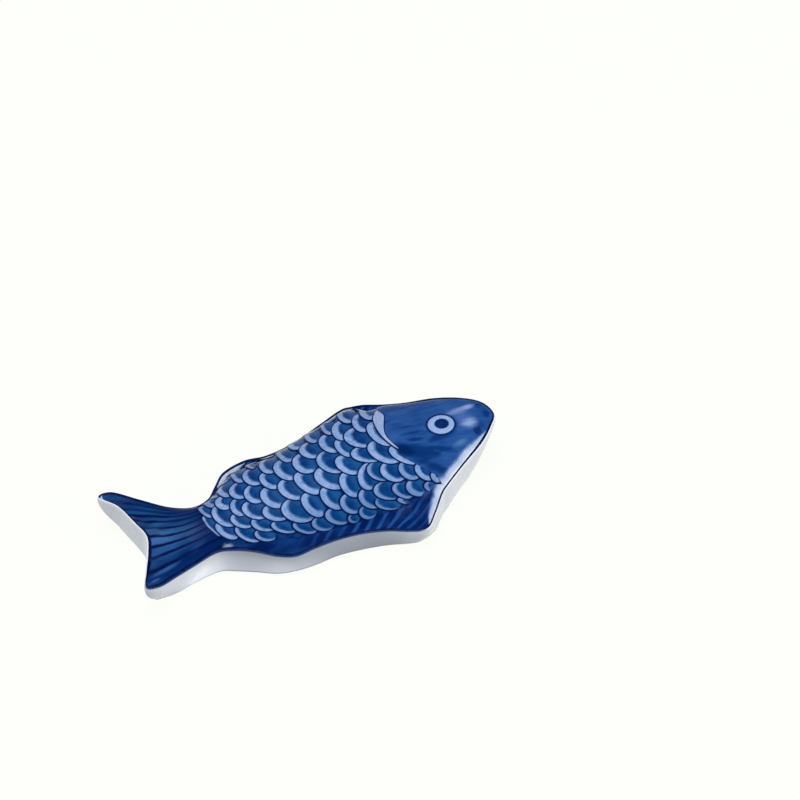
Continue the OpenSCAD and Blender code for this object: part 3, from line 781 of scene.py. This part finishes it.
# Scales
# Pressed into the flank row over row like roof tiles, each with its free edge towards tail
# and belly: a pale crescent along that edge, a deep blue middle, a fine dark outline.
# Each row: upper end, middle and lower end of the free edge in plan, width of the crescent
# in millimetres, how pale it is and how green the blue is, from 0 to 1
scale_rows = np.array([
    [13.3, 5.4, 11.55, 2.4, 13.9, -0.8, 1.3, 1, 0.3], [14.3, -0.9, 13.5, -3.1, 16.5, -5.15, 1.2, 1, 0.3],
    [16.8, -5.2, 16.1, -6.8, 18, -7.9, 1, 1, 0.4], [18.7, -6.9, 18.2, -7.8, 19.3, -8.3, 0.9, 0.9, 0.4],
    [14.3, -4.3, 13.7, -6.3, 15.9, -7.35, 0.9, 0.8, 0.5], [14.5, -7.3, 13.9, -8.8, 16.4, -9.6, 1, 0.9, 0.5],
    [17.3, -8.1, 16.6, -8.9, 18.2, -9.3, 0.8, 0.7, 0.6], [11.5, 1.1, 10.4, -2, 14, -4.05, 1.3, 1, 0.2],
    [11.8, -3.5, 10.7, -5.8, 13.7, -6.85, 1.1, 1, 0.3],
    [12.4, -7.1, 11.5, -8.5, 14.1, -9.35, 0.9, 0.9, 0.5],
    [12.3, -9.2, 11.6, -9.5, 12.7, -9.95, 1, 0.95, 0.4], [12.3, 8.7, 10, 5.7, 11.6, 3.5, 1.15, 1, 0.4],
    [14.3, 11, 12.2, 8.2, 13.5, 6, 1.3, 0.95, 0.5], [10.7, 11.8, 8.8, 8.9, 9.9, 6.5, 0.95, 0.95, 0.2],
    [8.5, 8.2, 6.4, 5.6, 7.5, 3.1, 1.25, 1, 0.3], [10, 5.1, 7.55, 2.8, 10.5, 0.2, 1.4, 1, 0.1],
    [6.6, 3.8, 5.55, 1.5, 7.1, -0.6, 0.95, 0.95, 0.5], [9, 0.8, 7.4, -1.2, 10.9, -2.9, 1.15, 1, 0.3],
    [5.8, 0.2, 4.3, -1.8, 6.8, -4, 1.25, 1, 0.2], [10.3, -2.9, 8.5, -4.6, 11, -6.4, 0.75, 0.8, 0.8],
    [9, -2.7, 6.6, -5, 8.3, -7, 1.05, 1, 0.4], [10, -6.4, 8.45, -8, 11.7, -9.25, 0.85, 1, 0.4],
    [7, -6.5, 5.8, -8.1, 8.3, -9.6, 0.9, 0.95, 0.4], [5.2, -3, 3.6, -5, 5.5, -7.2, 1.1, 1, 0.3],
    [8.7, -8.4, 8.4, -9.7, 11.3, -10.4, 0.55, 0.85, 0.5],
    [5.7, -8.7, 5.3, -9.75, 7.2, -10.35, 0.6, 0.85, 0.6], [5.4, 6.2, 3.5, 3.6, 5.4, 1.1, 1.15, 1, 0.2],
    [7, 10.6, 5.45, 7.8, 6.1, 5.4, 0.7, 0.8, 0.4], [4.2, 10, 2.5, 7.5, 3.2, 5, 0.85, 0.85, 0.1],
    [2.1, 6.2, 0.15, 3.7, 2.1, 1.5, 1.15, 1, 0.1], [1.3, 9.9, -0.4, 7.4, 0.4, 5.2, 0.95, 0.95, 0.2],
    [-0.9, 9.6, -2.95, 5.7, -1.8, 2.9, 0.9, 0.9, 0.2], [0, 3.9, -1.95, 1.3, 0.2, -1, 1.2, 1, 0.2],
    [3.4, 2.2, 1.75, -0.5, 4.6, -2.8, 1, 1, 0.1], [-1.9, 0, -2.65, -2.6, -0.1, -4.9, 1.2, 1, 0.4],
    [1.8, -0.7, 0.4, -3.2, 3.6, -5.3, 1.4, 1, 0.9], [1, -4.2, 0.1, -6.3, 2.4, -7.95, 1.1, 1, 0.8],
    [-2.3, -4, -3.05, -6.2, -0.8, -8, 1.15, 1, 0.2], [-5.1, -3.9, -6.4, -6.2, -2.7, -7.9, 1.2, 1, 0.8],
    [4, -6.3, 2.6, -7.8, 4.9, -9.1, 0.95, 1, 0.3], [0.8, -7.5, -0.2, -8.7, 2.4, -9.8, 0.95, 0.95, 0.4],
    [-1.9, -7.9, -2.5, -9, 0, -9.8, 0.7, 0.85, 0.5], [3.8, -9, 3.1, -9.6, 4.4, -10, 0.5, 0.7, 0.5],
    [-5.4, -7.4, -5, -8.7, -2.4, -9.4, 0.55, 0.85, 0.4], [-3.2, 4.4, -5, 1.6, -2.8, -1, 1.2, 1, 0.5],
    [-4.6, 7.2, -6.6, 4.4, -5.3, 2, 0.95, 0.95, 0.4], [-6.7, 2.9, -7.7, 0.7, -5.9, -1.3, 0.95, 1, 0.2],
    [-4.4, -0.2, -5.7, -2.5, -3, -4.6, 1.1, 1, 0.2], [-7.6, -0.2, -8.75, -2.5, -6.4, -4.6, 1.15, 1, 0.2],
    [-8.1, 5.8, -9.8, 3.1, -7.9, 0.9, 0.95, 1, 0.1], [-6.9, 8.8, -7.8, 7, -7.4, 5.2, 0.5, 0.7, 0.8],
    [-9.3, 8.9, -10.9, 5.6, -10.1, 3.1, 0.75, 0.85, 0.2],
    [-11.1, 3.7, -12.8, 1.8, -11.2, -0.2, 0.95, 0.95, 0.1],
    [-9.7, 1.6, -10.95, -0.5, -9.1, -2.3, 0.95, 1, 0.2], [-12.3, 6.6, -14, 3.9, -13, 1.5, 0.85, 0.9, 0.2],
    [-14.2, 2.7, -15.5, 1, -14.1, -0.7, 1.1, 1, 0.3], [-15.4, 4.4, -16.8, 2.9, -16, 1, 1, 0.75, 0.3],
    [-15.4, 1, -16.7, -1.3, -14.4, -3.7, 0.9, 1, 0.2],
    [-12.4, 0.5, -13.75, -1.2, -12.3, -3, 0.85, 0.95, 0.1],
    [-10.8, -1.1, -12.15, -2.8, -9.5, -5, 0.95, 1, 0.2],
    [-13.7, -2, -14.2, -3.6, -11.9, -5.1, 0.75, 0.95, 0.5],
    [-8.4, -3.3, -9.3, -5, -6.5, -6.5, 1, 0.95, 0.7],
    [-13.8, -4, -13.9, -5.7, -11.2, -7.35, 0.6, 0.95, 0.5],
    [-10.9, -4.2, -11.4, -5.6, -8.8, -7.1, 0.75, 0.95, 0.3],
    [-16.4, -2.1, -16.8, -3.8, -14.6, -5.5, 0.9, 0.95, 0.4],
    [-18, 0.1, -18.2, -2, -16.7, -4.2, 0.4, 0.9, 0.6],
    [-17.6, 2.7, -18.1, 0.9, -16.9, -0.8, 0.6, 0.75, 0.8],
    [-8.5, -6.1, -8.4, -7.4, -5.9, -8.5, 0.6, 0.95, 0.3],
    [-11.4, -6, -11.3, -7.2, -9.2, -8.2, 0.5, 0.9, 0.3],
    # Over the shoulder, where the flank falls to the back
    [13.9, 12.6, 12.7, 10.9, 13.6, 9.3, 1.1, 0.9, 0.3], [10.9, 12.9, 9.6, 11.6, 10.4, 10, 1, 0.9, 0.3],
    [7.9, 12.2, 6.5, 10.9, 7.3, 9.2, 1, 0.9, 0.4], [4.9, 11.2, 3.4, 10.2, 4.2, 8.6, 1, 0.85, 0.2],
    [1.8, 10.8, 0.5, 9.9, 1.3, 8.3, 0.9, 0.85, 0.3], [-1.4, 10.7, -2.6, 9.7, -1.8, 7.9, 0.9, 0.85, 0.3],
    [-3.4, 10.5, -4.9, 9.2, -4, 7.4, 0.9, 0.85, 0.4], [-6.4, 10.6, -7.6, 9.4, -6.8, 7.7, 0.8, 0.85, 0.3],
    [-9, 10.2, -10.3, 9, -9.6, 7.4, 0.8, 0.85, 0.3], [-11.3, 8.9, -12.6, 7.6, -11.9, 5.9, 0.8, 0.85, 0.3],
    [-14, 6, -15.2, 4.8, -14.6, 3.2, 0.7, 0.8, 0.3]])
upper, crest_point, lower = (scale_rows[:, c:c + 2] * MM for c in (0, 2, 4))
crescent_w, paleness, greenness = scale_rows[:, 6:].T
centre = (upper + lower) / 2
half_chord, depth_way = (upper - lower) / 2, crest_point - centre
chord_l, depth_l = (np.linalg.norm(v, axis=1) for v in (half_chord, depth_way))
segments, outline_w, outline_share = 36, 0.24 * MM, 0.12
angle = np.arange(segments) * 2 * math.pi / segments
share = np.array([0.02, 0.2, 0.4, 0.58, 0.74, 0.88, 1.0, 1.12, 1.16])
# Past a share of 1 the outline is a fixed width, whatever the size of the scale
beyond = np.clip((share - 1) / outline_share, 0, 1)
a, b = (np.minimum(share, 1) + beyond * outline_w / length[:, None] for length in (chord_l, depth_l))
plan = centre[:, None, None] + (a[..., None] * np.cos(angle))[..., None] * half_chord[:, None, None] \
    + (b[..., None] * np.sin(angle))[..., None] * depth_way[:, None, None]
u, v = share[:, None] * np.cos(angle), share[:, None] * np.sin(angle)
# Each scale tilts: its free edge lies just under the face, its root sinks below the next row.
# It is a little domed, its rim is rounded off, and its underside closes it
sunk, tilted, arched, domed, rounded, wall, thick = 0.13, 0.1, 0.02, 0.03, 0.09, 0.06, 0.16
lift = (-sunk + tilted * v - arched * u**2 + domed * (1 - share[:, None]**2)) * MM
lift[-1] = lift[-2] - rounded * MM
lift = np.concatenate([lift, lift[-1:] - wall * MM, lift[:1] - thick * MM])
plan = np.concatenate([plan, plan[:, -1:], plan[:, :1]], 1)
u, v = (np.concatenate([w, w[-1:], w[:1]]) for w in (u, v))
# They end at the edge line, and on the two back fins short of the painted highlight along it
t_of, r_of = spot(plan[..., 0], plan[..., 1])
at_line, at_highlight = 0.985, 0.89
highlight_at = [7.7, 8.4, 9.8, 10.3, 12.9, 13.4, 14.6, 15.2]
back_limit = np.interp(t_of, highlight_at, [at_line, at_highlight, at_highlight, at_line] * 2)
plan = face_at(t_of, np.clip(r_of, -at_line, back_limit))[..., :2]
# Down the steep back they stand a little higher, clear of the ground between them
steep_from, steep_over, lifted = 5.5 * MM, 3 * MM, 0.11 * MM
raised = lifted * np.clip((crest_point[:, 1] - steep_from) / steep_over, 0, 1)
points = draped(plan[..., 0], plan[..., 1], lift[None] + raised[:, None, None])
ids = np.arange(points[..., 0].size).reshape(plan.shape[:3])
faces = [closed_rings(one, True) for one in ids]
faces += [closed_end(ids[:, 0], True), closed_end(ids[:, -1])]
# The crescent begins where the distance from a point above the middle passes the inner rim,
# and fades towards the root
above, taken = 0.32, 0.86
inner_rim = 1 + above - taken * crescent_w * MM / depth_l
spread = {"u": u, "v": v, "inner": inner_rim[:, None, None], "pale": paleness[:, None, None],
          "green": greenness[:, None, None]}

pot = PaintPot("scale_strokes")
across_scale, down_scale = pot.carried("u"), pot.carried("v")
far = pot.length(across_scale, pot.sums("ADD", down_scale, above))
ragged = pot.sums("MULTIPLY", pot.sums("SUBTRACT", pot.mottle(1.3), 0.5), 0.16)
past = pot.sums("ADD", pot.sums("SUBTRACT", far, pot.carried("inner")), ragged)
crescent = pot.ramp(pot.sums("ADD", past, 0.5), (0.38, 0), (0.5, 0.4), (0.6, 1))
root = pot.ramp(pot.sums("ADD", down_scale, 0.5), (0.02, 0), (0.45, 1))
crescent = pot.sums("MULTIPLY", pot.sums("MULTIPLY", crescent, root), pot.carried("pale"))
outline = pot.ramp(pot.sums("SUBTRACT", pot.length(across_scale, down_scale), 0.5), (0.46, 0), (0.53, 1))
deep = pot.ramp(pot.mottle(0.9, detail=4), (0.3, (0, 42, 104)), (0.5, (4, 54, 118)), (0.72, (22, 74, 138)))
deep = pot.mixed(pot.sums("MULTIPLY", pot.carried("green"), 0.7), deep, (10, 70, 124))
deep = pot.mixed(pot.ramp(pot.sums("ADD", down_scale, 0.6), (0.1, 0.75), (0.75, 0)), deep, (32, 86, 148))
pale = pot.ramp(pot.mottle(1.5, detail=4), (0.3, (108, 146, 200)), (0.5, (134, 164, 212)),
                (0.7, (158, 172, 214)))
low_rows = pot.ramp(pot.blot((3, -12), (30, 8)), (0, 0), (0.7, 0.85))
pale = pot.mixed(low_rows, pale, (100, 134, 186))
colour = pot.mixed(outline, pot.mixed(crescent, deep, pale), (0, 26, 84))
pot.fired(colour, pot.mottle(1.1, detail=2))
piece_from("scales_pressed", points.reshape(-1, 3), faces, pot, "scale_coat", sharp=50,
           fields={name: np.broadcast_to(values, ids.shape) for name, values in spread.items()})

# The ground between them lies lower than the other coats
ground_drop, ground_bottom = 0.22 * MM, 1.3 * coat_t
pot = PaintPot("scale_ground")
pot.fired(pot.ramp(pot.mottle(0.9, detail=4), (0.3, (2, 40, 98)), (0.7, (18, 62, 124))))
coat("scale_ground", is_scales, pot, "scale_coat", drop=ground_drop, bottom=ground_bottom)


# Tail
# The fan of the tail, in long brush strokes from the waist: dark rays over a mid blue that
# turns green towards the trailing edge, each ray pressed a little into the clay.
ray_places = (0.15, 0.27, 0.38, 0.49, 0.6, 0.7, 0.78, 0.85, 0.92)
ray_depth, ray_width, strong_rays_to, tips_at = 0.035 * MM, 0.014, 0.8, 21.2
# Where the rays begin and how soon they reach their depth, and where the fan begins and
# how long it is, all along the length in millimetres
rays_from, rays_over, fan_from, fan_over = 20, 5, 17.5, 14
x, y = net[..., 0], net[..., 1]
low_y, top_y = (np.interp(-x, -line[:, 0], line[:, 1]) for line in (
    edge[waist_at * per_station:int(tips_at * per_station)] for edge in (belly_edge, back_edge)))
fan = (y - low_y) / np.maximum(top_y - low_y, 1e-6)
nearest = np.abs(fan[..., None] - ray_places).min(-1)
groove = np.clip((-x / MM - rays_from) / rays_over, 0, 1)
pressed = ray_depth * np.exp(-(nearest / ray_width)**2) * groove
tailward = np.clip((-x / MM - fan_from) / fan_over, 0, 1)

pot = PaintPot("tail_rays")
wander = pot.sums("MULTIPLY", pot.sums("SUBTRACT", pot.mottle(0.25), 0.5), 0.04)
fan_now = pot.sums("ADD", pot.carried("fan"), wander)
base = pot.ramp(fan_now, (0, (6, 50, 112)), (0.12, (0, 36, 92)), (0.28, (38, 82, 142)),
                (0.5, (62, 106, 160)), (0.7, (32, 82, 138)), (1, (10, 58, 116)))
streak = pot.ramp(pot.mottle(0.5, (0.25, 1.2, 1), 3, math.radians(8)), (0.4, 0), (0.75, 0.75))
base = pot.mixed(streak, base, (0, 38, 96))
pale_strokes = (
    ((-27.6, -7.5), (4.5, 0.6), 24), ((-30.2, -9.6), (1.6, 0.4), 24), ((-20.5, -4.4), (3.2, 0.6), 20))
for centre, size, angle in pale_strokes:
    base = pot.mixed(pot.ramp(pot.blot(centre, size, angle), (0, 0), (0.8, 0.8)), base, (52, 94, 154))
to_tail = pot.carried("tailward")
base = pot.mixed(pot.ramp(to_tail, (0, 1), (0.32, 0.5), (0.6, 0)), base, (0, 32, 90))
trailing = pot.ramp(pot.carried("inset"), (0.3, 1), (0.8, 0.3), (1, 0))
trailing = pot.sums("MULTIPLY", trailing, pot.ramp(to_tail, (0.6, 0), (0.9, 0.8)))
base = pot.mixed(trailing, base, (28, 88, 138))
dark_rays = 0.0
for place in ray_places:
    near = pot.sums("MULTIPLY", pot.sums("ABSOLUTE", pot.sums("SUBTRACT", fan_now, place)), 20.0)
    ray = pot.ramp(near, (0.15, 1.0 if place < strong_rays_to else 0.7), (0.58, 0))
    dark_rays = pot.sums("MAXIMUM", dark_rays, ray)
fade = pot.ramp(pot.mottle(0.3, (0.4, 1, 1)), (0.3, 0.6), (0.55, 1))
base = pot.mixed(pot.sums("MULTIPLY", dark_rays, fade), base, (0, 16, 68))
base = pot.mixed(pot.ramp(pot.carried("beside"), (0.38, 1), (0.6, 0)), base, (2, 12, 58))
# The pale strip at the tail's upper tip is a painted highlight, and the painted glint lies at the waist
pot.fired(bare_white_and_highlights(pot, base), pot.mottle(0.7))
coat("tail_coat_painted", is_tail, pot, "tail_coat", drop=pressed,
     fields={"fan": fan, "tailward": tailward, "beside": beside})


# Fins
# A long fin below the belly and two short ones along the back, all near black blue, with
# slanting lighter strokes for their rays.
fin_drop = 0.06 * MM
pot = PaintPot("fin_rays")
strokes = pot.nodes.new("ShaderNodeTexWave")
for title, value in (("Scale", 0.24), ("Distortion", 1.1), ("Detail", 2), ("Detail Scale", 1.6)):
    strokes.inputs[title].default_value = value
pot.links.new(pot.mapped(pot.mm, Rotation=(0, 0, math.radians(-120))), strokes.inputs["Vector"])
rays = strokes.outputs["Fac"]
shade = pot.ramp(rays, (0.4, (0, 30, 90)), (0.7, (8, 50, 116)), (0.95, (34, 78, 146)))
broad = pot.ramp(pot.mottle(0.3), (0.38, 0), (0.62, 0.75))
rearward = pot.ramp(pot.blot((-17, -7), (22, 30)), (0, 0), (0.6, 1))
wash = pot.ramp(pot.mottle(0.4, (0.4, 1.2, 1)), (0.35, (0, 30, 92)), (0.7, (16, 60, 124)))
shade = pot.mixed(pot.sums("MAXIMUM", broad, rearward), shade, wash)
# Painted highlights round the back fins, white showing through with a painted highlight down the belly fin's
# front, and the painted glint at the waist
pot.fired(bare_white_and_highlights(pot, shade), rays)
for name, cells, node in (
        ("belly_fin_painted", is_belly_fin, "belly_fin_coat"),
        ("back_fin_painted", is_back_fin, "back_fin_coat"),
        ("rear_fin_painted", is_rear_fin, "rear_fin_coat")):
    coat(name, cells, pot, node, drop=fin_drop)


# Edge line
# One dark line drawn right round the painted face, where it meets the white lip.
pot = PaintPot("edge_line_navy")
pot.fired(pot.ramp(pot.mottle(0.8), (0.3, (4, 14, 52)), (0.7, (14, 34, 88))))
coat("edge_line_painted", on_stroke, pot, "edge_line")

size = {"cad": [list(cad_low), list(cad_high)], "visual": [list(v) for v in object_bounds()]}
